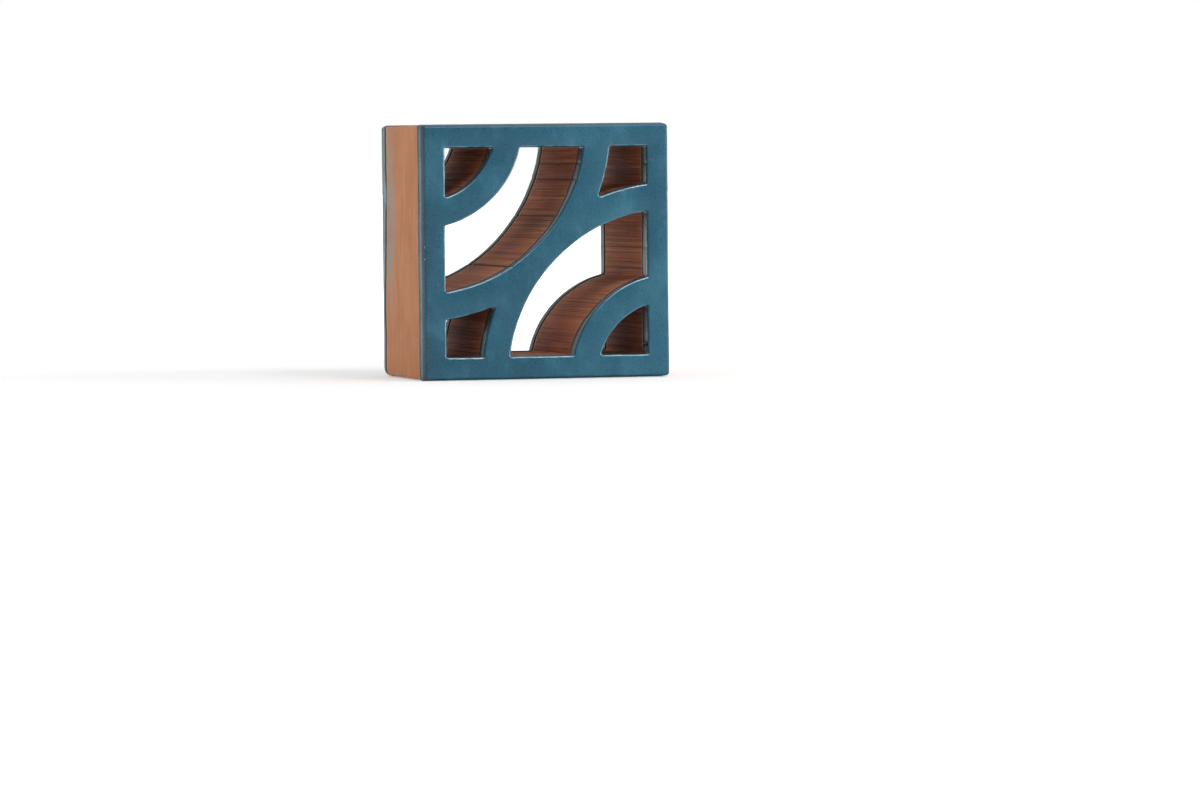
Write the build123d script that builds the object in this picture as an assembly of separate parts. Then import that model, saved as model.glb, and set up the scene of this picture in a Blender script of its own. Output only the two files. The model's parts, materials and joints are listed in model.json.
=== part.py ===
from build123d import *
import os

# A square pierced breeze block, extruded through a die and fired as one piece.
# It stands on its lower bed face at Z = 0, centred on X and Y, with its front face towards -Y.
# The pattern is drawn about two opposite outer corners of the face, upper left and lower right.
# Each of them carries a quarter hole, a curved rib, a crescent hole and a second curved rib.
# The two outer ribs cross in the middle and leave a pointed hole in each of the other corners.

# Driving dimensions, in millimetres
FACE_SIZE = 200.0
DEPTH = 140.0
RIM_WIDTH = 18.0
RIB_WIDTH = 21.0
QUARTER_RADIUS = 60.0
CRESCENT_WIDTH = 51.0
HOLE_CORNER_RADIUS = 1.5
OUTER_CORNER_RADIUS = 2.0
FACE_EDGE_CHAMFER = 1.0

# Arc radii that follow from them, each measured from an outer corner of the face
INNER_RIB_OUTSIDE = QUARTER_RADIUS + RIB_WIDTH
CRESCENT_OUTSIDE = INNER_RIB_OUTSIDE + CRESCENT_WIDTH
OUTER_RIB_OUTSIDE = CRESCENT_OUTSIDE + RIB_WIDTH

# Centres of the arcs on the face, as X and height above the middle
HALF_FACE = FACE_SIZE / 2
UPPER_LEFT = (-HALF_FACE, HALF_FACE)
LOWER_RIGHT = (HALF_FACE, -HALF_FACE)


def disc(centre, radius):
    """A full disc about one corner of the face."""
    return Pos(*centre) * Circle(radius)


def window():
    """The square inside the rim, which every hole is cut off by."""
    side = FACE_SIZE - 2 * RIM_WIDTH
    return Rectangle(side, side)


def quarter_hole(centre):
    """The hole between the rim's corner and the inner rib."""
    return window() & disc(centre, QUARTER_RADIUS)


def crescent_hole(centre):
    """The curved hole between the inner rib and the outer rib."""
    return window() & (disc(centre, CRESCENT_OUTSIDE) - disc(centre, INNER_RIB_OUTSIDE))


def pointed_holes():
    """The two holes outside both outer ribs, each with a point towards the middle."""
    return window() - disc(UPPER_LEFT, OUTER_RIB_OUTSIDE) - disc(LOWER_RIGHT, OUTER_RIB_OUTSIDE)


def hole_outlines():
    """All six hole outlines, with the corners that the die rounds."""
    faces = []
    for centre in (UPPER_LEFT, LOWER_RIGHT):
        faces += quarter_hole(centre).faces()
        faces += crescent_hole(centre).faces()
    faces += pointed_holes().faces()
    return [face.fillet_2d(HOLE_CORNER_RADIUS, face.vertices()) for face in faces]


def block_section():
    """The section that the die gives: the outer square less its six holes."""
    section = RectangleRounded(FACE_SIZE, FACE_SIZE, OUTER_CORNER_RADIUS)
    for outline in hole_outlines():
        section -= outline
    return section


def breeze_block():
    """The section run through the depth, with the edges of both faces eased."""
    block = extrude(Plane.XZ * block_section(), amount=DEPTH / 2, both=True)
    front_and_back = block.faces().filter_by(Axis.Y)
    block = chamfer(front_and_back.edges(), FACE_EDGE_CHAMFER)
    return Pos(0, 0, HALF_FACE) * block


parts = {"breeze_block": breeze_block()}

os.makedirs("parts", exist_ok=True)
for name, solid in parts.items():
    export_step(solid, f"parts/{name}.step")
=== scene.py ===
"""A square pierced breeze block of fired clay, with a teal glaze on both of its pierced faces.

The block is drawn from its section, as the die that extrudes it is: outlines on the front face,
filled, drawn out through the depth and rounded at both faces. That blank is then parted into the
bare clay body and the two coats of glaze that it was dipped in.
"""

from __future__ import annotations

import json
import logging
import math
from collections.abc import Callable, Iterable
from dataclasses import dataclass, field
from enum import Enum

import bmesh
import bpy
from mathutils import Matrix, Vector
from mathutils.kdtree import KDTree

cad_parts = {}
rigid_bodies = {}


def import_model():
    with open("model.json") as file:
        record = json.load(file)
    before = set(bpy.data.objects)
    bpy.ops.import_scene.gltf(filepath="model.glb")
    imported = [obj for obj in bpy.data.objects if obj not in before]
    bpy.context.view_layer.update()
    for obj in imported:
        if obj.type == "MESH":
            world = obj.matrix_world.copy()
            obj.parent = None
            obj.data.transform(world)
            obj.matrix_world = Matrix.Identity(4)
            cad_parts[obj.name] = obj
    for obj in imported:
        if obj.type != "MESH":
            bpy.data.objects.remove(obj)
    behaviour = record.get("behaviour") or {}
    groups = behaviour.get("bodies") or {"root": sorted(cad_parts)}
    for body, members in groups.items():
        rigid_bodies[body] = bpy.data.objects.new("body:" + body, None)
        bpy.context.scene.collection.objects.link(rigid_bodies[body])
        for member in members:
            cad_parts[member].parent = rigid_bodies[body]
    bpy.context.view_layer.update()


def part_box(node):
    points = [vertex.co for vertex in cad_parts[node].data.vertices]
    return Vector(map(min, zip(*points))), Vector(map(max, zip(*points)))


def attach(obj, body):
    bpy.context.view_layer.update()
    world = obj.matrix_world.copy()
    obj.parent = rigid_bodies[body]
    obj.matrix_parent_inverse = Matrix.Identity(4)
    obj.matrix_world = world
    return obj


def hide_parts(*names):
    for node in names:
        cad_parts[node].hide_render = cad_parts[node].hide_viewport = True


LOG = logging.getLogger("breeze_block")
MM = 0.001
NODE = "breeze_block"
WRAP = "wrap"
MARGIN = "margin"
ARRIS = "arris"
OUTSIDE = "outside"
FLAW = "flaw"
STORED = (WRAP, ARRIS, OUTSIDE, FLAW)
NEAR = 0.01 * MM
UPPER_DRIP = ((-0.1, 0.0535, 0.1445), (0.01, 0.0045, 0.015))
WHITE = (1, 1, 1, 1)

Point = tuple[float, float]
Point3 = tuple[float, float, float]
Colour = tuple[float, float, float, float]
Piece = bpy.types.Object
Socket = bpy.types.NodeSocket


class Face(Enum):
    """The two pierced faces. The value is the sign of the face's place on Y."""

    FRONT = -1
    BACK = 1


class Ground(Enum):
    """Which side of an arc the hole lies on, where the arc meets the rim."""

    INSIDE = -1
    OUTSIDE = 1


def linear(red: int, green: int, blue: int) -> Colour:
    """A screen colour from 0 to 255, as the linear colour that the shaders take."""

    def channel(value: int) -> float:
        """One channel of it."""
        share = value / 255
        return share / 12.92 if share <= 0.04045 else ((share + 0.055) / 1.055) ** 2.4

    return channel(red), channel(green), channel(blue), 1.0


def smooth_step(low: float, high: float, value: float) -> float:
    """0 up to low, 1 from high, and an even curve between them."""
    share = min(max((value - low) / (high - low), 0.0), 1.0)
    return share * share * (3 - 2 * share)


def rise_and_fall(start: float, top: float, end: float, value: float) -> float:
    """0 up to the start, 1 at the top and 0 again from the end."""
    return smooth_step(start, top, value) if value <= top else 1 - smooth_step(top, end, value)


# Operator helpers


def hold_only(piece: Piece) -> None:
    """Deselects everything and makes one piece the selected and active one."""
    bpy.ops.object.select_all(action="DESELECT")
    piece.select_set(True)
    bpy.context.view_layer.objects.active = piece


@dataclass(frozen=True)
class Bench:
    """Edit mode on one piece, as a with block that always ends back in object mode.

    Attributes:
        piece: the mesh to work on.
        kind: what is selected, as VERT, EDGE or FACE.
    """

    piece: Piece
    kind: str = "VERT"

    def __enter__(self) -> Bench:
        """Opens the piece with nothing selected."""
        hold_only(self.piece)
        bpy.ops.object.mode_set(mode="EDIT")
        bpy.ops.mesh.select_mode(type=self.kind)
        bpy.ops.mesh.select_all(action="DESELECT")
        return self

    def __exit__(self, *problem: object) -> None:
        """Goes back to object mode."""
        bpy.ops.object.mode_set(mode="OBJECT")

    def pick(self, chosen: Callable[[object], bool]) -> None:
        """Selects only the vertices, or only the faces, that a test picks."""
        mesh = bmesh.from_edit_mesh(self.piece.data)
        bpy.ops.mesh.select_all(action="DESELECT")
        for element in mesh.verts if self.kind == "VERT" else mesh.faces:
            if chosen(element):
                element.select = True
        mesh.select_flush_mode()
        bmesh.update_edit_mesh(self.piece.data)


def apply_modifier(piece: Piece, modifier: bpy.types.Modifier) -> None:
    """Applies one modifier of a piece."""
    hold_only(piece)
    bpy.ops.object.modifier_apply(modifier=modifier.name)


def copy_of(piece: Piece, name: str) -> Piece:
    """A copy of a piece with a mesh of its own."""
    hold_only(piece)
    bpy.ops.object.duplicate(linked=False)
    made = bpy.context.object
    made.name = name
    made.data.name = name
    return made


def store(piece: Piece, name: str, values: list[float]) -> None:
    """Stores a value for each point of a piece, where its finish can read it."""
    piece.data.attributes.new(name, "FLOAT", "POINT")
    piece.data.attributes[name].data.foreach_set("value", values)


def stored(piece: Piece, name: str) -> list[float]:
    """The values stored for each point of a piece."""
    values = [0.0] * len(piece.data.vertices)
    piece.data.attributes[name].data.foreach_get("value", values)
    return values


@dataclass(frozen=True)
class Spot:
    """One point of the block's surface.

    Attributes:
        place: where it is.
        wrap: how far down a wall it is from the nearer pierced face, 0 on the face.
        margin: how far it is from the nearest wall, on a pierced face.
        outside: whether it is on one of the four outer sides.
        facing: the way the surface faces there.
    """

    place: Vector
    wrap: float
    margin: float
    outside: bool
    facing: Vector


def spots_of(piece: Piece) -> list[Spot]:
    """Every point of a piece, with the values stored for it."""
    values = zip(stored(piece, WRAP), stored(piece, MARGIN), stored(piece, OUTSIDE))
    return [
        Spot(vertex.co.copy(), wrap, margin, outside > 0.5, vertex.normal.copy())
        for vertex, (wrap, margin, outside) in zip(piece.data.vertices, values)
    ]


def weigh(piece: Piece, name: str, spots: list[Spot], rule: Callable[[Spot], float]) -> str:
    """Gives a piece a vertex group whose weights follow a rule.

    Args:
        piece: the mesh.
        name: the group's name.
        spots: its points.
        rule: the weight of a spot, from 0 to 1.

    Returns:
        The group's name.
    """
    group = piece.vertex_groups.new(name=name)
    for index, spot in enumerate(spots):
        weight = rule(spot)
        if weight > 0:
            group.add([index], weight, "REPLACE")
    return group.name


def push(
    piece: Piece,
    distance: float,
    direction: str = "NORMAL",
    group: str = "",
    **noise: object,
) -> None:
    """Moves a surface by the same distance all over, or as far as a group or a noise lets it.

    Args:
        piece: the mesh.
        distance: how far, in metres.
        direction: NORMAL, X, Y or Z.
        group: the vertex group, or nothing for all of the mesh.
        noise: settings of the modifier that give it a noise.
    """
    modifier = piece.modifiers.new("push", "DISPLACE")
    settings = {"direction": direction, "strength": distance, "mid_level": 0.0, "vertex_group": group}
    for name, value in (settings | noise).items():
        setattr(modifier, name, value)
    apply_modifier(piece, modifier)


@dataclass(frozen=True)
class Unevenness:
    """A smooth noise that moves a surface, as drying, firing and handling do.

    Attributes:
        grain: size of its lumps, in metres.
        height: how far it moves the surface from its lowest to its highest, in metres.
        direction: NORMAL, X, Y or Z.
        stretch: how much longer its lumps are along X, Y and Z.
        middle: the share of the height that leaves the surface where it is.
        detail: how many finer layers it has.
        shift: moves the noise, so that two of them differ.
    """

    grain: float
    height: float
    direction: str = "NORMAL"
    stretch: Point3 = (1.0, 1.0, 1.0)
    middle: float = 0.5
    detail: int = 1
    shift: float = 0.0

    def press(self, piece: Piece, group: str = "") -> None:
        """Moves a piece's surface.

        Args:
            piece: the mesh.
            group: the vertex group that it is kept to, or nothing for all of the mesh.
        """
        noise = bpy.data.textures.new("unevenness", "CLOUDS")
        noise.noise_scale = self.grain
        noise.noise_depth = self.detail
        bpy.ops.object.empty_add(location=(self.shift, self.shift, self.shift))
        grid = bpy.context.object
        grid.scale = self.stretch
        bpy.context.view_layer.update()
        read = {"texture": noise, "texture_coords": "OBJECT", "texture_coords_object": grid}
        push(piece, self.height, self.direction, group, mid_level=self.middle, **read)
        bpy.data.objects.remove(grid)
        bpy.data.textures.remove(noise)


# The section


@dataclass(frozen=True)
class Stroke:
    """One stretch of an outline: an arc about a centre, or a straight run where it has none."""

    end: Point
    centre: Point | None = None


@dataclass(frozen=True)
class Outline:
    """A closed outline, from its start through its strokes and back."""

    start: Point
    strokes: tuple[Stroke, ...]


def swapped(point: Point) -> Point:
    """A point mirrored about the diagonal from the upper left corner."""
    return point[1], point[0]


@dataclass(frozen=True)
class Section:
    """The die's section. A point is (across, down) from the face's upper left corner, in metres."""

    width: float
    skin: float
    rim: float = 18.0 * MM
    rib: float = 21.0 * MM
    quarter_radius: float = 60.0 * MM
    crescent_width: float = 51.0 * MM
    hole_corner: float = 1.5 * MM
    outer_corner: float = 2.0 * MM

    @property
    def inner_rib_outside(self) -> float:
        """Outer radius of the rib round the quarter hole."""
        return self.quarter_radius + self.rib

    @property
    def crescent_outside(self) -> float:
        """Outer radius of the crescent hole."""
        return self.inner_rib_outside + self.crescent_width

    @property
    def outer_rib_outside(self) -> float:
        """Outer radius of the rib round the crescent hole."""
        return self.crescent_outside + self.rib

    def mirrored(self, point: Point) -> Point:
        """A point mirrored about the diagonal from the upper right corner."""
        return self.width - point[1], self.width - point[0]

    def junction(self, radius: float, ground: Ground) -> tuple[Point, Point, Point]:
        """The rounding where an arc about the upper left corner meets the upper rim.

        Args:
            radius: the arc's radius.
            ground: whether the hole is inside the arc or outside it.

        Returns:
            The rounding's centre, its end on the rim and its end on the arc.
        """
        reach = radius + ground.value * self.hole_corner
        down = self.rim + self.hole_corner
        across = math.sqrt(reach**2 - down**2)
        share = radius / reach
        return (across, down), (across, self.rim), (across * share, down * share)

    def outer_edge(self) -> Outline:
        """The block's square outline, a skin's thickness inside its full size."""
        low = self.skin
        high = self.width - self.skin
        near = low + self.outer_corner
        far = high - self.outer_corner
        return Outline(
            (near, low),
            (
                Stroke((far, low)),
                Stroke((high, near), (far, near)),
                Stroke((high, far)),
                Stroke((far, high), (far, far)),
                Stroke((near, high)),
                Stroke((low, far), (near, far)),
                Stroke((low, near)),
                Stroke((near, low), (near, near)),
            ),
        )

    def quarter_hole(self) -> Outline:
        """The hole in the rim's upper left corner."""
        near = self.rim + self.hole_corner
        centre, on_rim, on_arc = self.junction(self.quarter_radius, Ground.INSIDE)
        return Outline(
            (near, self.rim),
            (
                Stroke(on_rim),
                Stroke(on_arc, centre),
                Stroke(swapped(on_arc), (0.0, 0.0)),
                Stroke(swapped(on_rim), swapped(centre)),
                Stroke((self.rim, near)),
                Stroke((near, self.rim), (near, near)),
            ),
        )

    def crescent_hole(self) -> Outline:
        """The curved hole between the two ribs about the upper left corner."""
        far_centre, far_rim, far_arc = self.junction(self.crescent_outside, Ground.INSIDE)
        near_centre, near_rim, near_arc = self.junction(self.inner_rib_outside, Ground.OUTSIDE)
        return Outline(
            near_rim,
            (
                Stroke(far_rim),
                Stroke(far_arc, far_centre),
                Stroke(swapped(far_arc), (0.0, 0.0)),
                Stroke(swapped(far_rim), swapped(far_centre)),
                Stroke(swapped(near_rim)),
                Stroke(swapped(near_arc), swapped(near_centre)),
                Stroke(near_arc, (0.0, 0.0)),
                Stroke(near_rim, near_centre),
            ),
        )

    def pointed_hole(self) -> Outline:
        """The hole in the upper right corner, outside both outer ribs."""
        centre, on_rim, on_arc = self.junction(self.outer_rib_outside, Ground.OUTSIDE)
        corner = self.width - self.rim
        inner = corner - self.hole_corner
        down = self.rim + self.hole_corner
        reach = self.outer_rib_outside + self.hole_corner
        half = self.width / 2
        offset = math.sqrt((reach**2 - 2 * half**2) / 2)
        tip = (half + offset, half - offset)
        share = self.outer_rib_outside / reach
        on_tip = (tip[0] * share, tip[1] * share)
        return Outline(
            on_rim,
            (
                Stroke((inner, self.rim)),
                Stroke((corner, down), (inner, down)),
                Stroke(self.mirrored(on_rim)),
                Stroke(self.mirrored(on_arc), self.mirrored(centre)),
                Stroke(self.mirrored(on_tip), (self.width, self.width)),
                Stroke(on_tip, tip),
                Stroke(on_arc, (0.0, 0.0)),
                Stroke(on_rim, centre),
            ),
        )


@dataclass
class Pen:
    """Draws outlines in edit mode, in a plane that faces the front.

    Attributes:
        bench: the open piece.
        left: X of the section's upper left corner.
        top: Z of it.
        plane: Y of the plane.
        spacing: the widest gap between two points of a line.
    """

    bench: Bench
    left: float
    top: float
    plane: float
    spacing: float

    def place(self, point: Point) -> Vector:
        """Where a point of the section is in the frame."""
        return Vector((self.left + point[0], self.plane, self.top - point[1]))

    def draw(self, outline: Outline) -> None:
        """Draws one closed outline, a stroke at a time."""
        bpy.ops.mesh.primitive_plane_add(size=MM, location=self.place(outline.start))
        bpy.ops.mesh.merge(type="CENTER")
        here = outline.start
        for stroke in outline.strokes:
            if stroke.centre is None:
                self._run(here, stroke.end)
            else:
                self._arc(here, stroke)
            here = stroke.end

    def _arc(self, here: Point, stroke: Stroke) -> None:
        """Spins the held point about the stroke's centre."""
        centre = self.place(stroke.centre)
        start = self.place(here) - centre
        end = self.place(stroke.end) - centre
        sweep = math.atan2(end.z, end.x) - math.atan2(start.z, start.x)
        sweep = (sweep + math.pi) % math.tau - math.pi
        steps = max(5, math.ceil(abs(sweep) * start.length / self.spacing))
        bpy.ops.mesh.spin(steps=steps, angle=sweep, center=centre, axis=(0, 1, 0))

    def _run(self, here: Point, end: Point) -> None:
        """Draws a straight run from the held point, cut into even lengths."""
        start, finish = self.place(here), self.place(end)
        cuts = max(0, math.ceil((finish - start).length / self.spacing) - 1)
        bpy.ops.mesh.extrude_vertices_move(TRANSFORM_OT_translate={"value": finish - start})
        if cuts:
            mesh = bmesh.from_edit_mesh(self.bench.piece.data)
            last = next(vertex for vertex in mesh.verts if vertex.select)
            last.link_edges[0].select = True
            bmesh.update_edit_mesh(self.bench.piece.data)
            bpy.ops.mesh.subdivide(number_cuts=cuts)
        mesh = bmesh.from_edit_mesh(self.bench.piece.data)
        held = min((v for v in mesh.verts if v.select), key=lambda v: (v.co - finish).length)
        self.bench.pick(lambda vertex: vertex == held)


@dataclass(frozen=True)
class Flaw:
    """A nick, score or lump at one place of a wall. Its values are in millimetres.

    Attributes:
        across: distance from the face's left edge.
        down: distance from its top edge.
        height: how far it raises the surface, or sinks it if negative.
        reach: how far it goes in the section.
        depth: how far its middle is behind the front face.
        length: how far it goes along the depth from there.
    """

    across: float
    down: float
    height: float
    reach: float
    depth: float = 0.0
    length: float = 1000.0

    def weight(self, place: Vector, low: Vector, high: Vector) -> float:
        """How strong it is at a place of the block between two corners."""
        across = (place.x - low.x) / MM - self.across
        down = (high.z - place.z) / MM - self.down
        share = math.hypot(across, down) / self.reach
        along = abs((place.y - low.y) / MM - self.depth) / self.length
        if share >= 1 or along >= 1:
            return 0.0
        return (1 - smooth_step(0.0, 1.0, share)) * (1 - smooth_step(0.6, 1.0, along))


FLAWS = (
    Flaw(164.5, 53.4, -0.8, 5.0, 0.0, 6.0),
    Flaw(182.4, 32.0, -0.6, 2.0, 4.0, 8.0),
    Flaw(124.6, 43.7, -0.4, 1.6),
    Flaw(126.0, 40.9, 0.12, 2.0),
    Flaw(128.2, 31.4, -0.35, 1.4),
    Flaw(71.0, 111.4, -0.6, 1.6),
    Flaw(110.2, 72.7, -0.4, 1.4),
    Flaw(182.0, 70.5, -0.2, 1.3),
    Flaw(182.0, 97.5, -0.16, 1.3),
    Flaw(136.0, 150.4, -0.2, 1.4),
    Flaw(125.6, 168.0, -0.22, 1.3),
    Flaw(182.0, 174.0, 0.6, 2.2, 9.0, 8.0),
    Flaw(0.0, 91.5, -0.3, 1.8, 0.0, 4.0),
    Flaw(0.0, 96.0, -0.5, 2.4, 0.0, 5.0),
    Flaw(0.0, 100.5, -0.3, 1.6, 2.0, 4.0),
    Flaw(0.0, 105.0, -0.45, 2.4, 0.0, 4.0),
    Flaw(0.0, 110.0, -0.25, 1.6, 1.0, 4.0),
    Flaw(0.0, 200.0, -1.6, 7.0, 134.0, 16.0),
    Flaw(200.0, 0.0, -0.9, 5.0, 140.0, 8.0),
    Flaw(88.0, 156.3, -0.6, 2.8, 140.0, 6.0),
    Flaw(73.0, 18.0, -0.5, 2.6, 140.0, 6.0),
)


@dataclass
class Blank:
    """The block as it leaves the die, cut to length and with its faces' edges rounded.

    Attributes:
        low: the block's lowest corner.
        high: its highest corner.
        spacing: the widest gap between two lines that run through the depth.
        rows: distances from a pierced face to the rows of points near it, in millimetres.
        bare_rows: how many rows the bare stretch between them has.
        edge_steps: strips in the rounding at each face.
        mesh_size: the grid that the pierced faces are cut into.
        skin: how far the blank stays inside the corners, which its unevenness may use.
        edge_radius: the rounding between a pierced face and a wall.
        lip: the strip round each pierced face beside it.
        band: how far the glaze reaches down the outer sides from each face.
        section: the die's section, fitted to the block's width.
    """

    low: Vector
    high: Vector
    spacing: float
    rows: tuple[float, ...]
    bare_rows: int
    edge_steps: int
    mesh_size: float = 8.0 * MM
    skin: float = 0.5 * MM
    edge_radius: float = 1.4 * MM
    lip: float = 0.3 * MM
    band: float = 18.0 * MM
    section: Section = field(init=False)

    def __post_init__(self) -> None:
        """Fits the section to the block's width."""
        self.section = Section(self.high.x - self.low.x, self.skin)

    @property
    def inset(self) -> float:
        """How far behind a pierced face its rounding begins."""
        return self.edge_radius + self.skin

    def build(self, name: str) -> Piece:
        """Models the blank.

        Args:
            name: what to call it.

        Returns:
            A closed mesh, with where each point is stored on it.
        """
        bpy.ops.mesh.primitive_plane_add(size=MM, location=(0, 0, 0))
        blank = bpy.context.object
        blank.name = name
        with Bench(blank) as bench:
            bpy.ops.mesh.select_all(action="SELECT")
            bpy.ops.mesh.delete(type="VERT")
            self._draw_section(bench)
        with Bench(blank, "FACE") as bench:
            self._draw_out()
            for face in Face:
                self._round_edges(bench, face)
                self._cut_grid()
            bpy.ops.mesh.select_all(action="SELECT")
            bpy.ops.mesh.normals_make_consistent(inside=False)
        self._measure(blank)
        spots = spots_of(blank)
        self._mark_flaws(blank, spots)
        self._make_uneven(blank, spots)
        LOG.info("%s: %d faces", name, len(blank.data.polygons))
        return blank

    def _draw_section(self, bench: Bench) -> None:
        """Draws the outer edge and the six holes, and fills what is between them."""
        pen = Pen(bench, self.low.x, self.high.z, self.low.y + self.inset, self.spacing)
        for outline in (
            self.section.quarter_hole(),
            self.section.crescent_hole(),
            self.section.pointed_hole(),
        ):
            pen.draw(outline)
        middle = Vector((self.low.x + self.high.x, 0.0, self.low.z + self.high.z)) / 2
        bpy.ops.mesh.select_all(action="SELECT")
        bpy.ops.mesh.duplicate()
        bpy.ops.transform.rotate(value=math.pi, orient_axis="Y", center_override=middle)
        pen.draw(self.section.outer_edge())
        bpy.ops.mesh.select_all(action="SELECT")
        bpy.ops.mesh.remove_doubles(threshold=NEAR)
        bpy.ops.mesh.fill(use_beauty=True)

    def _levels(self) -> list[float]:
        """Distances from the front to each row of points down the walls."""
        depth = self.high.y - self.low.y
        rows = [row * MM for row in self.rows]
        bare = (depth - 2 * rows[-1]) / self.bare_rows
        middle = [rows[-1] + bare * step for step in range(1, self.bare_rows)]
        back = [depth - row for row in reversed(rows)]
        return [self.inset, *rows, *middle, *back, depth - self.inset]

    def _draw_out(self) -> None:
        """Draws the filled section out through the depth, a row at a time."""
        bpy.ops.mesh.select_all(action="SELECT")
        levels = self._levels()
        for near, far in zip(levels, levels[1:]):
            bpy.ops.mesh.extrude_region_move(TRANSFORM_OT_translate={"value": (0, far - near, 0)})
        bpy.ops.mesh.select_all(action="SELECT")
        bpy.ops.mesh.normals_make_consistent(inside=False)

    def _round_edges(self, bench: Bench, face: Face) -> None:
        """Rounds every edge of one pierced face by a row of small insets."""
        plane = self.low.y + self.inset if face is Face.FRONT else self.high.y - self.inset
        bench.pick(lambda f: all(abs(vertex.co.y - plane) < NEAR for vertex in f.verts))
        angles = [math.pi / 2 * step / self.edge_steps for step in range(self.edge_steps + 1)]
        for start, end in zip(angles, angles[1:]):
            inward = self.edge_radius * (math.cos(start) - math.cos(end))
            outward = self.edge_radius * (math.sin(end) - math.sin(start))
            bpy.ops.mesh.inset(thickness=inward, depth=outward)
        bpy.ops.mesh.inset(thickness=self.lip, depth=0)

    def _cut_grid(self) -> None:
        """Cuts the selected flat face into a grid, so that it can swell and sink."""
        bpy.ops.mesh.hide(unselected=True)
        for axis, low, high in ((0, self.low.x, self.high.x), (2, self.low.z, self.high.z)):
            count = round((high - low) / self.mesh_size)
            for step in range(1, count):
                place, normal = [0.0, 0.0, 0.0], [0.0, 0.0, 0.0]
                place[axis] = low + (high - low) * step / count
                normal[axis] = 1.0
                bpy.ops.mesh.select_all(action="SELECT")
                bpy.ops.mesh.bisect(plane_co=place, plane_no=normal)
        bpy.ops.mesh.reveal(select=False)

    def _is_outside(self, point: Vector) -> bool:
        """Whether a point is on one of the four outer sides."""
        reach = self.skin + self.section.outer_corner
        level = min(point.z - self.low.z, self.high.z - point.z)
        across = min(point.x - self.low.x, self.high.x - point.x)
        return min(level, across) < reach

    def _measure(self, blank: Piece) -> None:
        """Stores where each point is: down a wall, near an arris, on a face or outside."""
        points = [vertex.co.copy() for vertex in blank.data.vertices]
        wraps = [min(p.y - self.low.y, self.high.y - p.y) - self.skin for p in points]
        walls = [p for p, wrap in zip(points, wraps) if wrap > self.edge_radius - NEAR]
        tree = KDTree(len(walls))
        for index, point in enumerate(walls):
            tree.insert((point.x, 0.0, point.z), index)
        tree.balance()
        margins = [
            tree.find((p.x, 0.0, p.z))[2] if wrap < self.edge_radius else 0.0
            for p, wrap in zip(points, wraps)
        ]
        store(blank, WRAP, wraps)
        store(blank, MARGIN, margins)
        # Painted highlight: edges that face left, away from the lamps, get a smaller arris value, so the
        # pale edge colour that reads it is stronger on the lit edges.
        facing_lamps = [1 - 0.8 * smooth_step(0.1, 0.6, -v.normal.x) for v in blank.data.vertices]
        store(blank, ARRIS, [self._arris(wrap) * share for wrap, share in zip(wraps, facing_lamps)])
        store(blank, OUTSIDE, [float(self._is_outside(point)) for point in points])

    def _arris(self, wrap: float) -> float:
        """1 in the middle of the rounding at a face's edge, and 0 at both its ends."""
        share = min(max(1 - wrap / self.edge_radius, 0.0), 1.0)
        return math.sin(2 * math.asin(share))

    def _mark_flaws(self, blank: Piece, spots: list[Spot]) -> None:
        """Cuts each nick and score and raises each lump."""
        marks = [0.0] * len(spots)
        for raised in (False, True):
            flaws = [flaw for flaw in FLAWS if (flaw.height > 0) is raised]
            most = max((flaw.height for flaw in flaws), key=abs)
            heights = [self._flaw_height(flaws, spot) for spot in spots]
            group = blank.vertex_groups.new(name=f"raised_{raised}")
            for index, height in enumerate(heights):
                if height:
                    group.add([index], height / most, "REPLACE")
                    marks[index] = max(marks[index], min(abs(height), 1.0))
            push(blank, most * MM, group=group.name)
        store(blank, FLAW, marks)

    def _flaw_height(self, flaws: list[Flaw], spot: Spot) -> float:
        """The height, in millimetres, that the strongest of some flaws gives a point."""
        heights = [flaw.height * flaw.weight(spot.place, self.low, self.high) for flaw in flaws]
        return max(heights, key=abs)

    def _make_uneven(self, blank: Piece, spots: list[Spot]) -> None:
        """Gives the walls, the faces and the glaze lines the waver of a fired block."""
        for grain, height, length, shifts in ((45, 0.55, 4, (0.0, 0.3)), (9, 0.15, 3, (0.7, 0.9))):
            for axis, shift in zip("XZ", shifts):
                Unevenness(grain * MM, height * MM, axis, (1, length, 1), shift=shift).press(blank)
        for face in Face:
            name = face.name.lower()
            flat = weigh(blank, f"{name}_flat", spots, lambda spot: self._flat_weight(face, spot))
            Unevenness(26 * MM, 0.5 * MM, "Y", shift=0.5 * face.value).press(blank, flat)
            eased = weigh(blank, f"{name}_eased", spots, lambda spot: self._eased_weight(face, spot))
            push(blank, -0.35 * MM * face.value, "Y", eased)
            line = weigh(blank, f"{name}_line", spots, lambda spot: self._line_weight(face, spot))
            Unevenness(24 * MM, 3.0 * MM, "Y", shift=0.11 * face.value).press(blank, line)
            Unevenness(5 * MM, 1.4 * MM, "Y", detail=2, shift=0.17 * face.value).press(blank, line)
        for axis, number in (("X", 0), ("Z", 2)):
            for side, inward in ((self.low[number], 1), (self.high[number], -1)):
                shoulder = weigh(
                    blank,
                    f"shoulder_{axis}_{inward}",
                    spots,
                    lambda spot: self._shoulder_weight(spot, spot.place[number] - side),
                )
                push(blank, 0.8 * MM * inward, axis, shoulder)
        for name, rule, pull in (
            ("short_band", self._short_weight, 5.5 * MM),
            ("drained_band", self._drained_weight, -7.5 * MM),
            ("pointed_band", self._pointed_weight, 7.0 * MM),
        ):
            push(blank, pull, "Y", weigh(blank, name, spots, rule))

    def _flat_weight(self, face: Face, spot: Spot) -> float:
        """How far a point follows the swell of one pierced face."""
        return smooth_step(0.5 * MM, 6 * MM, spot.margin) if spot.place.y * face.value > 0 else 0.0

    def _eased_weight(self, face: Face, spot: Spot) -> float:
        """How far a point drops with the eased margin of one pierced face."""
        if spot.place.y * face.value < 0 or spot.wrap > self.edge_radius:
            return 0.0
        return 1 - smooth_step(0.0, 6 * MM, spot.margin)

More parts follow.
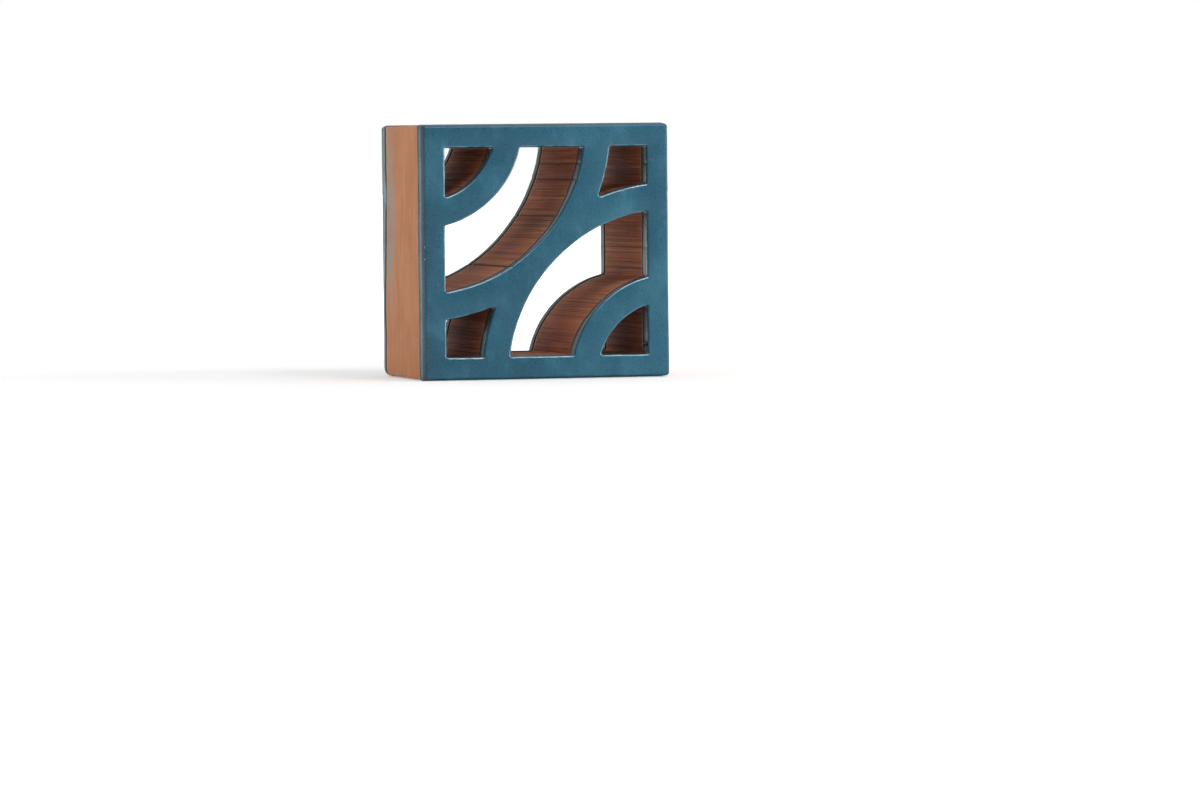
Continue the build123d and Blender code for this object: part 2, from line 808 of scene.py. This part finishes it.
    def _line_weight(self, face: Face, spot: Spot) -> float:
        """How far a point follows the glaze line of one face."""
        if spot.place.y * face.value < 0:
            return 0.0
        return rise_and_fall(4 * MM, self.band, 27 * MM, spot.wrap)

    def _shoulder_weight(self, spot: Spot, gap: float) -> float:
        """How far a point at some distance from an outer side's plane follows its soft shoulder."""
        reach = self.skin + self.section.outer_corner
        near = 1 - smooth_step(reach, reach + 9 * MM, abs(gap))
        return near * (1 - smooth_step(1.0 * MM, 9.0 * MM, spot.wrap))

    def _pointed_weight(self, spot: Spot) -> float:
        """How far a point follows the very narrow back band in the upper pointed hole."""
        if spot.place.x < 50 * MM or spot.place.z < self.high.z - 60 * MM:
            return 0.0
        return self._short_weight(spot)

    def _pull_weight(self, spot: Spot) -> float:
        """How far a point follows a glaze line that is drawn nearer to its face."""
        return rise_and_fall(2 * MM, self.band, 60 * MM, spot.wrap)

    def _short_weight(self, spot: Spot) -> float:
        """How far a point follows the shorter glaze bands at the back."""
        if spot.place.y < 0:
            return 0.0
        high = smooth_step(60 * MM, 140 * MM, spot.place.z - self.low.z) if spot.outside else 0.0
        return self._pull_weight(spot) * (1 - high)

    def _drained_weight(self, spot: Spot) -> float:
        """How far a point follows the narrow front band on the walls of the holes that face up."""
        if spot.outside or spot.place.y > 0:
            return 0.0
        return smooth_step(0.15, 0.95, spot.facing.z) * self._pull_weight(spot)


# Materials


@dataclass
class Nodes:
    """Adds nodes to a tree. What goes into one is a socket of another, or a plain value.

    Attributes:
        tree: the nodes of a material or of the world.
    """

    tree: bpy.types.NodeTree

    def join(self, source: object, socket: Socket) -> None:
        """Links a socket, or sets it to a plain value."""
        if isinstance(source, Socket):
            self.tree.links.new(source, socket)
        else:
            socket.default_value = source

    def step(
        self, kind: str, sources: dict[str | int, object], output: str | int = 0, **settings: str
    ) -> Socket:
        """Adds one node.

        Args:
            kind: its kind.
            sources: what goes into its inputs.
            output: which of its outputs is wanted.
            settings: its own settings.

        Returns:
            That output.
        """
        node = self.tree.nodes.new(f"ShaderNode{kind}")
        for name, value in settings.items():
            setattr(node, name, value)
        for name, source in sources.items():
            self.join(source, node.inputs[name])
        return node.outputs[output]

    def ray(self, kind: str) -> Socket:
        """1 for rays of one kind, such as Camera, and 0 for others."""
        return self.step("LightPath", {}, f"Is {kind} Ray")

    def combine(self, kind: str, first: object, second: object) -> Socket:
        """One step of arithmetic, such as ADD, MULTIPLY or MAXIMUM."""
        return self.step("Math", {0: first, 1: second}, operation=kind)

    def times(self, *factors: object) -> Socket:
        """The product of some values."""
        result = factors[0]
        for factor in factors[1:]:
            result = self.combine("MULTIPLY", result, factor)
        return result

    def less(self, value: object, share: float = 1.0) -> Socket:
        """1 less a share of a value."""
        return self.combine("SUBTRACT", 1.0, self.times(value, share))

    def window(self, value: object, low: float, high: float) -> Socket:
        """0 where a value is at low, 1 where it is at high, and a smooth curve between them."""
        sources = {"Value": value, "From Min": low, "From Max": high}
        return self.step("MapRange", sources, "Result", interpolation_type="SMOOTHSTEP")

    def along(self, vector: Socket, axis: str, low: float, high: float) -> Socket:
        """0 at one place on an axis, 1 at another, and a smooth curve between them."""
        return self.window(self.step("SeparateXYZ", {0: vector}, axis), low, high)


class Mix(Nodes):
    """The nodes of one material, round a Principled shader.

    It reads the values stored for the block's points: wrap, how far down a wall a point is; arris,
    how near to the middle of a rounded edge, and less on edges that face left, away from the lamps,
    so that the pale edge colour is partly a painted highlight; outside, 1 on the outer sides; flaw,
    how deep a nick is.
    """

    def __init__(self, name: str) -> None:
        """Makes the material with its shader, its object coordinates and the stored values."""
        self.material = bpy.data.materials.new(name)
        self.material.use_nodes = True
        super().__init__(self.material.node_tree)
        self.place = self.step("TexCoord", {}, "Object")
        self.wrap, self.arris, self.outside, self.flaw = (
            self.step("Attribute", {}, "Fac", attribute_name=value) for value in STORED
        )

    def dress(self, sources: dict[str, object]) -> None:
        """Joins what is given for them to the inputs of the material's shader."""
        shader = self.tree.nodes["Principled BSDF"]
        for name, source in sources.items():
            self.join(source, shader.inputs[name])

    def stretched(self, scale: Point3) -> Socket:
        """Object coordinates with each axis scaled."""
        return self.step("Mapping", {"Vector": self.place, "Scale": scale}, "Vector")

    def noise(self, scale: float, detail: int, roughness: float, vector: Socket | None = None) -> Socket:
        """A smooth noise from 0 to 1.

        Args:
            scale: lumps in each metre.
            detail: how many finer layers it has.
            roughness: how strong they are.
            vector: where it is read, or nothing for the object coordinates.

        Returns:
            Its value.
        """
        sources = {"Vector": vector or self.place, "Scale": scale}
        return self.step("TexNoise", sources | {"Detail": detail, "Roughness": roughness}, "Fac")

    def blob(self, centre: Point3, size: Point3) -> Socket:
        """A soft ball-shaped patch, 1 in its middle and 0 outside.

        Args:
            centre: its middle, in the frame.
            size: how far it reaches along X, Y and Z.

        Returns:
            Its strength.
        """
        shift = self.step("VectorMath", {0: self.place, 1: centre}, operation="SUBTRACT")
        share = self.step("VectorMath", {0: shift, 1: size}, operation="DIVIDE")
        return self.window(self.step("VectorMath", {0: share}, "Value", operation="LENGTH"), 1.0, 0.2)

    def blend(self, share: object, first: object, second: object) -> Socket:
        """The first colour where the share is 0 and the second where it is 1."""
        return self.step("Mix", {0: share, 6: first, 7: second}, 2, data_type="RGBA")

    def wash(
        self, under: object, over: Colour, value: Socket, low: float, high: float, share: float
    ) -> Socket:
        """Lays one colour over another where a value goes from low to high.

        Args:
            under: the colour that is there.
            over: the colour laid over it.
            value: what decides where.
            low: the value at which it begins.
            high: the value from which it is full.
            share: how much it covers there.

        Returns:
            The two together.
        """
        return self.blend(self.times(self.window(value, low, high), share), under, over)

    def washes(self, under: object, *layers: tuple) -> Socket:
        """Lays several washes over one another, each given as wash takes it after the first."""
        for layer in layers:
            under = self.wash(under, *layer)
        return under

    def relief(self, height: object, depth: float, under: Socket | None = None) -> Socket:
        """A bump from a height, on top of another one if there is one."""
        sources = {"Height": height, "Distance": depth, "Strength": 1.0}
        return self.step("Bump", sources | ({"Normal": under} if under else {}), "Normal")


@dataclass(frozen=True)
class TealGlaze:
    """Satin teal glaze, dark and glossy where it runs down the walls and pale on the edges, partly from
    a painted highlight.

    Attributes:
        deep, body, light: the clouded colours of a pierced face.
        thin_glaze_and_highlight: where the glaze is thin, on the holes' edges and in a drip; on the
            edges it is partly a painted highlight, stronger where they face the lamps.
        edge_and_shade: its colour just past a face's edge, also laid along a pierced face's left edge as
            painted shade.
        wall, outer_wall: the bands in the holes and on the outer sides.
        strip, outer_strip, back_strip: the paler strips along the bands, painted reflections of the
            bright surround; back_strip is the paler one towards the back of the outer sides.
        border: the pale line where a band ends on the clay, partly painted light that lifts the shade
            beside the bead there.
        score_shade, chipped: its nicks, with painted shade in the scores and pale chips.
        roughness: of a pierced face.
        shoulder: how much further the edge's colour reaches on the outer sides.
    """

    deep: Colour = linear(10, 80, 103)
    body: Colour = linear(26, 95, 118)
    light: Colour = linear(66, 130, 153)
    thin_glaze_and_highlight: Colour = linear(130, 182, 202)
    edge_and_shade: Colour = linear(30, 72, 90)
    wall: Colour = linear(54, 72, 78)
    outer_wall: Colour = linear(54, 80, 88)
    strip: Colour = linear(88, 102, 104)
    outer_strip: Colour = linear(88, 108, 112)
    back_strip: Colour = linear(128, 148, 152)
    border: Colour = linear(92, 104, 104)
    score_shade: Colour = linear(18, 24, 26)
    chipped: Colour = linear(196, 206, 206)
    roughness: float = 0.3
    shoulder: float = 4.5 * MM

    def material(self) -> bpy.types.Material:
        """Returns: the finished material."""
        mix = Mix("teal_glaze")
        strip = self._strip(mix)
        walls = mix.window(mix.wrap, 0.2 * MM, 2.2 * MM)
        rubbed = mix.times(mix.arris, mix.outside)
        glossy = mix.times(strip, mix.less(mix.outside, 0.5))
        dull = mix.combine("MAXIMUM", mix.times(walls, mix.less(glossy)), rubbed)
        swell = mix.relief(mix.noise(90, 2, 0.4), 0.2 * MM)
        peel = mix.times(mix.noise(620, 3, 0.55), mix.less(walls, 0.85))
        mix.dress({
            "Base Color": self._marks(mix, self._walls(mix, self._face(mix), strip)),
            "Roughness": self._roughness(mix, strip),
            "Specular IOR Level": mix.times(mix.less(dull, 0.75), 0.5),
            "Normal": mix.relief(peel, 0.04 * MM, swell),
        })
        return mix.material

    def _roughness(self, mix: Mix, strip: Socket) -> Socket:
        """Smoother along the strips, and rougher at the outer corners and on worn edges."""
        grain = mix.window(mix.noise(700, 3, 0.6), 0.2, 0.8)
        gloss = mix.combine("ADD", mix.times(grain, 0.12), self.roughness - 0.06)
        inside = mix.less(mix.outside)
        gloss = mix.combine("SUBTRACT", gloss, mix.times(strip, inside, 0.1))
        worn = mix.times(mix.window(mix.noise(150, 3, 0.6), 0.46, 0.62), 0.25, inside)
        dry = mix.combine("ADD", worn, mix.times(mix.outside, 0.4))
        return mix.combine("ADD", gloss, mix.times(mix.arris, dry))

    def _strip(self, mix: Mix) -> Socket:
        """The paler strip along each band: one on the outer sides, a pair in the holes. Where it lies,
        the colour holds a painted reflection of the bright surround.
        """
        wander = mix.times(mix.combine("SUBTRACT", mix.noise(60, 2, 0.5), 0.5), 5 * MM)
        level = mix.combine("ADD", mix.wrap, wander)
        near = mix.combine("SUBTRACT", level, mix.times(mix.outside, self.shoulder))
        start = mix.window(near, 2.6 * MM, 4.6 * MM)
        end = mix.window(level, 14.6 * MM, 13 * MM)
        middle = mix.combine("ABSOLUTE", mix.combine("SUBTRACT", level, 8.8 * MM), 0.0)
        groove = mix.times(mix.window(middle, 3.0 * MM, 1.4 * MM), mix.less(mix.outside))
        return mix.times(start, end, mix.less(groove, 0.9))

    def _face(self, mix: Mix) -> Socket:
        """The clouded colour of the pierced faces, with painted shade that darkens it towards the left
        edge, away from the lamps.
        """
        mottle = mix.noise(150, 4, 0.6, mix.stretched((1.0, 1.0, 0.5)))
        speckle = mix.noise(900, 3, 0.6)
        across = mix.step("SeparateXYZ", {0: mix.place}, "X")
        return mix.washes(
            self.deep,
            (self.body, mix.noise(16, 2, 0.5), 0.25, 0.75, 1.0),
            # Painted shade: darker towards the left and along the left edge, away from the lamps.
            (self.deep, across, 0.1, -0.1, 0.4),
            (self.edge_and_shade, across, -0.084, -0.1, 0.5),
            (self.light, mix.noise(34, 3, 0.5), 0.45, 0.85, 0.4),
            (self.light, mottle, 0.5, 0.85, 0.4),
            (self.deep, mottle, 0.48, 0.2, 0.45),
            (self.deep, speckle, 0.45, 0.25, 0.07),
            (self.light, speckle, 0.6, 0.8, 0.35),
        )

    def _walls(self, mix: Mix, face: Socket, strip: Socket) -> Socket:
        """The face's colour with the bands down the walls laid over it.

        Args:
            mix: the material's nodes.
            face: the face's colour.
            strip: where the paler strips are.

        Returns:
            The colour of both.
        """
        outside = mix.outside
        past_edge = mix.combine("SUBTRACT", mix.wrap, mix.times(outside, self.shoulder))
        broken = mix.window(mix.noise(75, 3, 0.6), 0.2, 0.55)
        # Painted reflection: the paler strips along the bands, paler still towards the back on the outer
        # sides.
        towards_back = mix.times(mix.along(mix.place, "Y", 0.0, 0.05), outside, 0.6)
        pale = mix.blend(outside, self.strip, self.outer_strip)
        pale = mix.blend(towards_back, pale, self.back_strip)
        wall = mix.blend(outside, self.wall, self.outer_wall)
        band = mix.blend(mix.window(past_edge, 0.0, 5.0 * MM), self.edge_and_shade, wall)
        band = mix.blend(mix.times(strip, broken), band, pale)
        # Partly painted light: a pale line where the band ends, lifting the shade beside the bead.
        band = mix.wash(band, self.border, mix.wrap, 16.2 * MM, 17.6 * MM, 1.0)
        return mix.blend(mix.window(mix.wrap, 0.5 * MM, 1.8 * MM), face, band)

    def _marks(self, mix: Mix, colour: Socket) -> Socket:
        """The thin glaze on the edges of the holes, partly a painted highlight, the dark scores as
        painted shade, a pale drip and the chips.

        Args:
            mix: the material's nodes.
            colour: the glaze without them.

        Returns:
            The glaze with them.
        """
        outside, flaw = mix.outside, mix.flaw
        # Painted highlight, partly thin glaze: the holes' edges are paler, more so where they face the
        # lamps.
        worn = mix.window(mix.noise(120, 3, 0.6), 0.3, 0.6)
        arris = mix.times(mix.window(mix.arris, 0.3, 0.9), worn, 0.5)
        colour = mix.blend(mix.times(arris, mix.less(outside, 0.9)), colour, self.thin_glaze_and_highlight)
        # Painted shade: the glaze is darkened in the scores and nicks that the flaw value marks.
        score = mix.times(mix.window(flaw, 0.15, 0.35), mix.less(outside), 0.75)
        score = mix.times(score, mix.window(mix.wrap, 0.8 * MM, 2.5 * MM))
        colour = mix.blend(score, colour, self.score_shade)
        drip = mix.times(mix.blob(*UPPER_DRIP), outside, 0.8)
        colour = mix.blend(drip, colour, self.thin_glaze_and_highlight)
        flecks = mix.window(mix.noise(800, 2, 0.6), 0.42, 0.58)
        chip = mix.times(mix.window(flaw, 0.15, 0.4), mix.window(flaw, 0.75, 0.6), flecks)
        chip = mix.times(chip, outside, mix.along(mix.place, "Y", 0.05, 0.0), 0.8)
        return mix.blend(chip, colour, self.chipped)


@dataclass(frozen=True)
class FiredClay:
    """Bare orange-brown clay, combed along the depth by the die.

    Attributes:
        body, pale, dark: the outer sides.
        hole, hole_dark, hole_light: the walls of the holes; hole_dark is also the painted shade in the
            pits and flaws.
        halo: the pale line beside the glaze, and the lightest streaks.
        smear, drip: thin glaze on the left side.
        roughness: all over.
    """

    body: Colour = linear(201, 131, 86)
    pale: Colour = linear(212, 145, 98)
    dark: Colour = linear(164, 97, 60)
    hole: Colour = linear(198, 123, 77)
    hole_dark: Colour = linear(68, 33, 19)
    hole_light: Colour = linear(232, 182, 140)
    halo: Colour = linear(226, 184, 154)
    smear: Colour = linear(168, 164, 156)
    drip: Colour = linear(134, 164, 176)
    roughness: float = 0.7

    def material(self) -> bpy.types.Material:
        """Returns: the finished material."""
        mix = Mix("fired_clay")
        along = mix.stretched((1.0, 0.002, 1.0))
        ribs = mix.noise(300, 3, 0.65, along)
        lines = mix.noise(1000, 4, 0.7, along)
        grain = mix.noise(1500, 2, 0.6)
        cells = mix.step("TexVoronoi", {"Vector": mix.place, "Scale": 150}, "Distance")
        pits = mix.window(cells, 0.09, 0.05)
        colour = mix.blend(mix.outside, self._holes(mix, ribs, lines), self._sides(mix))
        colour = mix.wash(colour, self.dark, grain, 0.44, 0.24, 0.28)
        # Painted shade: the clay is darkened in its pits and at the flaws.
        colour = mix.blend(mix.times(pits, 0.45), colour, self.hole_dark)
        colour = mix.wash(colour, self.hole_dark, mix.flaw, 0.12, 0.3, 0.8)
        ridges = mix.combine("ADD", ribs, mix.times(lines, 0.35))
        combing = mix.relief(mix.times(ridges, mix.less(mix.outside)), 0.42 * MM)
        texture = mix.combine("SUBTRACT", grain, mix.times(pits, 0.8))
        mix.dress({
            "Base Color": self._glaze_line(mix, colour),
            "Roughness": self.roughness,
            "Specular IOR Level": 0.4,
            "Normal": mix.relief(texture, 0.06 * MM, combing),
        })
        return mix.material

    def _sides(self, mix: Mix) -> Socket:
        """The outer sides, with faint upright streaks."""
        streaks = mix.noise(420, 3, 0.6, mix.stretched((1.0, 1.0, 0.05)))
        return mix.washes(
            self.body,
            (self.pale, mix.noise(34, 4, 0.55), 0.3, 0.7, 1.0),
            (self.dark, streaks, 0.5, 0.3, 0.34),
            (self.halo, streaks, 0.55, 0.72, 0.36),
        )

    def _holes(self, mix: Mix, ribs: Socket, lines: Socket) -> Socket:
        """The walls of the holes, with broad bands, ribs and fine lines along the depth."""
        bands = mix.noise(55, 2, 0.5, mix.stretched((1.0, 0.15, 1.0)))
        return mix.washes(
            self.hole,
            (self.hole_dark, bands, 0.5, 0.3, 0.36),
            (self.hole_dark, ribs, 0.48, 0.36, 0.42),
            (self.hole_light, ribs, 0.56, 0.68, 0.45),
            (self.hole_dark, lines, 0.49, 0.38, 0.62),
            (self.hole_light, lines, 0.54, 0.66, 0.5),
        )

    def _glaze_line(self, mix: Mix, colour: Socket) -> Socket:
        """A pale line of clay beside each glaze, and the smears of glaze beyond it.

        Args:
            mix: the material's nodes.
            colour: the clay without them.

        Returns:
            The clay with them.
        """
        colour = mix.wash(colour, self.halo, mix.wrap, 21.5 * MM, 18.8 * MM, 0.75)
        smear = mix.blob((-0.1, 0.042, 0.13), (0.03, 0.026, 0.095))
        patches = mix.noise(110, 3, 0.6, mix.stretched((1.0, 1.0, 0.25)))
        smear = mix.times(smear, mix.window(patches, 0.32, 0.56), mix.outside, 0.75)
        colour = mix.blend(smear, colour, self.smear)
        lower = mix.blob((-0.1, 0.043, 0.095), (0.01, 0.005, 0.016))
        drips = mix.combine("MAXIMUM", mix.blob(*UPPER_DRIP), mix.times(lower, 0.7))
        return mix.blend(mix.times(drips, mix.outside, 0.8), colour, self.drip)


# The pieces


@dataclass
class ClayBody:
    """The extruded body, bare on its sides and in its holes.

    Attributes:
        blank: the block as it left the die, which this turns into the body.
        under_glaze: how far the clay lies under the glaze's surface.
        finish: its material.
    """

    blank: Piece
    under_glaze: float = 0.45 * MM
    finish: FiredClay = FiredClay()

    def build(self) -> Piece:
        """Returns: the clay body, riding on the frame."""
        body = self.blank
        push(body, -self.under_glaze)
        spots = spots_of(body)
        combed = weigh(body, "combed", spots, lambda spot: self._combed_weight(spot, False))
        Unevenness(3.2 * MM, 0.5 * MM, "NORMAL", (1, 60, 1), 0.6, 2).press(body, combed)
        Unevenness(13 * MM, 0.5 * MM, "NORMAL", (1, 12, 1), 0.6, 1, 0.4).press(body, combed)
        sides = weigh(body, "sides", spots, lambda spot: self._combed_weight(spot, True))
        Unevenness(7 * MM, 0.22 * MM, "NORMAL", (1, 1, 8), 0.6, 2, 0.2).press(body, sides)
        body.data.materials.append(self.finish.material())
        LOG.info("clay body: %d faces", len(body.data.polygons))
        return body

    def _combed_weight(self, spot: Spot, outside: bool) -> float:
        """How bare a point is, on the outer sides or in the holes."""
        return smooth_step(16.5 * MM, 20 * MM, spot.wrap) if spot.outside is outside else 0.0


@dataclass
class GlazeCoat:
    """One coat of glaze: a pierced face and a band down every wall that meets it.

    Attributes:
        blank: the glazed block's outside.
        face: which face it covers.
        band: how far it reaches down the walls.
        material: its finish.
        thickness: how thick the coat is.
        bead: how far its lower edge stands out.
        swell: how far it stands out near the face.
        border: the bevel along its lower edge.
    """

    blank: Piece
    face: Face
    band: float
    material: bpy.types.Material
    thickness: float = 0.7 * MM
    bead: float = 0.5 * MM
    swell: float = 0.12 * MM
    border: float = 0.28 * MM

    def build(self) -> Piece:
        """Returns: the coat, as a closed shell that is sunk a little into the clay."""
        coat = copy_of(self.blank, f"{self.face.name.lower()}_glaze")
        self._part_from_blank(coat)
        spots = spots_of(coat)
        for name, middle, rise in (("bead", 15.8 * MM, self.bead), ("swell", 4.0 * MM, self.swell)):
            hump = weigh(coat, name, spots, lambda spot: self._hump(spot, middle, 3.0 * MM))
            push(coat, rise, group=hump)
        shell = coat.modifiers.new("thickness", "SOLIDIFY")
        shell.thickness = self.thickness
        shell.offset = -1.0
        apply_modifier(coat, shell)
        with Bench(coat, "EDGE"):
            bpy.ops.mesh.edges_select_sharp(sharpness=math.radians(50))
            bpy.ops.mesh.bevel(offset=self.border, segments=2, profile=0.5, affect="EDGES")
            bpy.ops.mesh.select_all(action="SELECT")
            bpy.ops.mesh.remove_doubles(threshold=NEAR / 10)
        coat.data.materials.append(self.material)
        LOG.info("%s: %d faces", coat.name, len(coat.data.polygons))
        return coat

    def _part_from_blank(self, coat: Piece) -> None:
        """Deletes all that this coat doesn't cover."""
        reach = self.band + 0.05 * MM
        with Bench(coat, "FACE") as bench:
            layer = bmesh.from_edit_mesh(coat.data).verts.layers.float[WRAP]
            bench.pick(
                lambda f: f.calc_center_median().y * self.face.value < 0
                or any(vertex[layer] > reach for vertex in f.verts)
            )
            bpy.ops.mesh.delete(type="FACE")

    def _hump(self, spot: Spot, middle: float, reach: float) -> float:
        """A rounded hump along the wall, at a distance from the face."""
        share = abs(spot.wrap - middle) / reach
        return math.cos(share * math.pi / 2) ** 2 if share < 1 else 0.0


def keep_inside(piece: Piece, low: Vector, high: Vector) -> None:
    """Presses any point that stands outside the block's box back to it."""
    for vertex in piece.data.vertices:
        vertex.co = [min(max(v, a), b) for v, a, b in zip(vertex.co, low, high)]


def tidy_shading(piece: Piece) -> None:
    """Smooth shading with crisp edges, and no vertex groups."""
    hold_only(piece)
    bpy.ops.object.shade_smooth_by_angle(angle=math.radians(40))
    piece.vertex_groups.clear()


# The studio


@dataclass(frozen=True)
class Lamp:
    """A square soft lamp that faces the middle of the block.

    Attributes:
        name: its name.
        place: where it is.
        size: its side.
        power: its power, in watts.
        shine_only: whether it only shows in reflections, as the highlights along the edges do.
    """

    name: str
    place: Point3
    size: float
    power: float
    shine_only: bool = False

    def hang(self) -> None:
        """Makes the lamp."""
        bpy.ops.object.light_add(type="AREA", location=self.place)
        lamp = bpy.context.object
        lamp.name = self.name
        lamp.data.size = self.size
        lamp.data.energy = self.power
        lamp.visible_camera = False
        lamp.visible_diffuse = not self.shine_only
        aim = Vector((0, 0, 0.1)) - Vector(self.place)
        lamp.rotation_euler = aim.to_track_quat("-Z", "Y").to_euler()


@dataclass
class Studio:
    """A pale floor, soft lamps and an even white surround.

    Attributes:
        lamps: what hangs round the block.
        floor_size: side of the floor.
        surround: how strongly the surround lights the block.
        back_gloss: how bright the backdrop is in reflections.
        front_gloss: how bright the room in front of the block is in them.
        floor_colour: the floor's grey.
        floor_glow: how far from the block the floor fades into the surround.
        floor_shade: how much of that glow the floor loses at the block.
    """

    lamps: tuple[Lamp, ...] = (
        Lamp("key_lamp", (0.9, -2.6, 3.0), 1.0, 31.0),
        Lamp("side_lamp", (1.9, -1.3, 0.6), 0.6, 16.0),
        Lamp("top_rim_lamp", (0.1, -1.5, 2.3), 1.6, 135.0, shine_only=True),
        Lamp("right_rim_lamp", (2.35, -1.15, 0.15), 1.6, 105.0, shine_only=True),
    )
    floor_size: float = 40.0
    surround: float = 0.72
    back_gloss: float = 0.5
    front_gloss: float = 0.15
    floor_colour: Colour = (0.82, 0.82, 0.82, 1)
    floor_glow: float = 1.4
    floor_shade: float = 0.72

    def build(self) -> None:
        """Makes the floor, the world and the lamps."""
        self._floor()
        self._world()
        for lamp in self.lamps:
            lamp.hang()

    def _floor(self) -> None:
        """A plain white floor that keeps the block's shadow and fades into the surround."""
        bpy.ops.mesh.primitive_plane_add(size=self.floor_size, location=(0, 0, 0))
        floor = bpy.context.object
        floor.name = "studio_floor"
        mix = Mix("studio_floor")
        behind = mix.times(mix.along(mix.place, "Y", -0.4, 0.4), self.back_gloss)
        behind = mix.combine("MAXIMUM", behind, self.front_gloss)
        seen = mix.combine("MAXIMUM", mix.ray("Camera"), mix.ray("Transmission"))
        seen = mix.combine("MAXIMUM", seen, mix.times(mix.ray("Glossy"), behind))
        near = mix.blob((0.0, 0.0, 0.0), (self.floor_glow,) * 3)
        mix.dress({
            "Base Color": self.floor_colour,
            "Roughness": 0.9,
            "Specular IOR Level": 0.1,
            "Emission Color": WHITE,
            "Emission Strength": mix.times(seen, mix.less(near, self.floor_shade)),
        })
        floor.data.materials.append(mix.material)

    def _world(self) -> None:
        """White behind the block, and a softer light from all round."""
        world = bpy.data.worlds.new("surround")
        bpy.context.scene.world = world
        world.use_nodes = True
        nodes = Nodes(world.node_tree)
        clear = nodes.combine("MAXIMUM", nodes.ray("Camera"), nodes.ray("Transmission"))
        glossy = nodes.ray("Glossy")
        plain = nodes.less(nodes.combine("MAXIMUM", clear, glossy))
        behind = nodes.along(nodes.step("TexCoord", {}, "Generated"), "Y", -0.3, 0.3)
        behind = nodes.times(behind, self.back_gloss - self.front_gloss)
        mirrored = nodes.times(glossy, nodes.combine("ADD", behind, self.front_gloss))
        bright = nodes.combine("MAXIMUM", clear, mirrored)
        strength = nodes.combine("ADD", bright, nodes.times(plain, self.surround))
        background = world.node_tree.nodes["Background"]
        nodes.join(WHITE, background.inputs["Color"])
        nodes.join(strength, background.inputs["Strength"])


@dataclass(frozen=True)
class PhotoCamera:
    """The photographer's place, worked out from the block's corners in the picture.

    Attributes:
        turn: how far to the block's left the camera stands, in degrees.
        tilt: how far it looks down, in degrees.
        roll: how far the camera leans to its right, in degrees.
        across: the block's centre left of the camera's axis, in metres.
        up: the block's centre above that axis, in metres.
        distance: from the camera to the middle of the front face, along its axis.
        focal_pixels: its focal length, in pixels of the picture.
        picture_width: how many of them the picture has across.
        sensor: width of the camera's sensor, in millimetres.
    """

    turn: float = 15.649
    tilt: float = 2.266
    roll: float = 0.581
    across: float = 0.03983
    up: float = 0.11671
    distance: float = 4.9997
    focal_pixels: float = 6391.2
    picture_width: float = 1200.0
    sensor: float = 36.0

    def place(self, aim: Vector) -> None:
        """Makes the camera.

        Args:
            aim: the middle of the front face.
        """
        turn, tilt, roll = (math.radians(a) for a in (self.turn, self.tilt, self.roll))
        level = Vector((math.sin(turn), math.cos(turn), 0))
        right = Vector((math.cos(turn), -math.sin(turn), 0))
        ahead = level * math.cos(tilt) - Vector((0, 0, 1)) * math.sin(tilt)
        above = right.cross(ahead)
        stand = aim + right * self.across - above * self.up - ahead * self.distance
        rolled_right = right * math.cos(roll) - above * math.sin(roll)
        rolled_up = above * math.cos(roll) + right * math.sin(roll)
        bpy.ops.object.camera_add()
        camera = bpy.context.object
        camera.name = "photo_camera"
        rows = Matrix((rolled_right, rolled_up, -ahead)).transposed()
        camera.matrix_world = Matrix.Translation(stand) @ rows.to_4x4()
        camera.data.sensor_width = self.sensor
        camera.data.lens = self.focal_pixels / self.picture_width * self.sensor
        camera.data.clip_end = 100.0
        bpy.context.scene.camera = camera


# The block. Rows of points down its walls, in millimetres from the nearer pierced face.

BODY_ROWS = (8, 15, 18, 21, 27)
COAT_ROWS = (2.6, 4.4, 7.0, 10.0, 12.4, 13.6, 14.6, 15.6, 16.4, 17.2, 18.0, 27.0)


def main() -> None:
    """Builds the block, its finish and the studio, in that order."""
    logging.basicConfig(level=logging.INFO, format="%(message)s")
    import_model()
    low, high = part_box(NODE)
    bare = Blank(low, high, 0.66 * MM, BODY_ROWS, bare_rows=10, edge_steps=2)
    body = ClayBody(bare.build("clay_body")).build()
    plan = Blank(low, high, 1.0 * MM, COAT_ROWS, bare_rows=1, edge_steps=5)
    outside = plan.build("glazed_outside")
    glaze = TealGlaze().material()
    coats = [GlazeCoat(outside, face, plan.band, glaze).build() for face in Face]
    bpy.data.objects.remove(outside)
    for piece in (body, *coats):
        keep_inside(piece, low, high)
        tidy_shading(piece)
        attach(piece, "root")
        LOG.info("%s rides on the block", piece.name)
    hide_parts(NODE)
    Studio().build()
    PhotoCamera().place(Vector((0, low.y, (low.z + high.z) / 2)))
    scene = bpy.context.scene
    scene.view_settings.view_transform = "Standard"


if __name__ == "__main__":
    main()
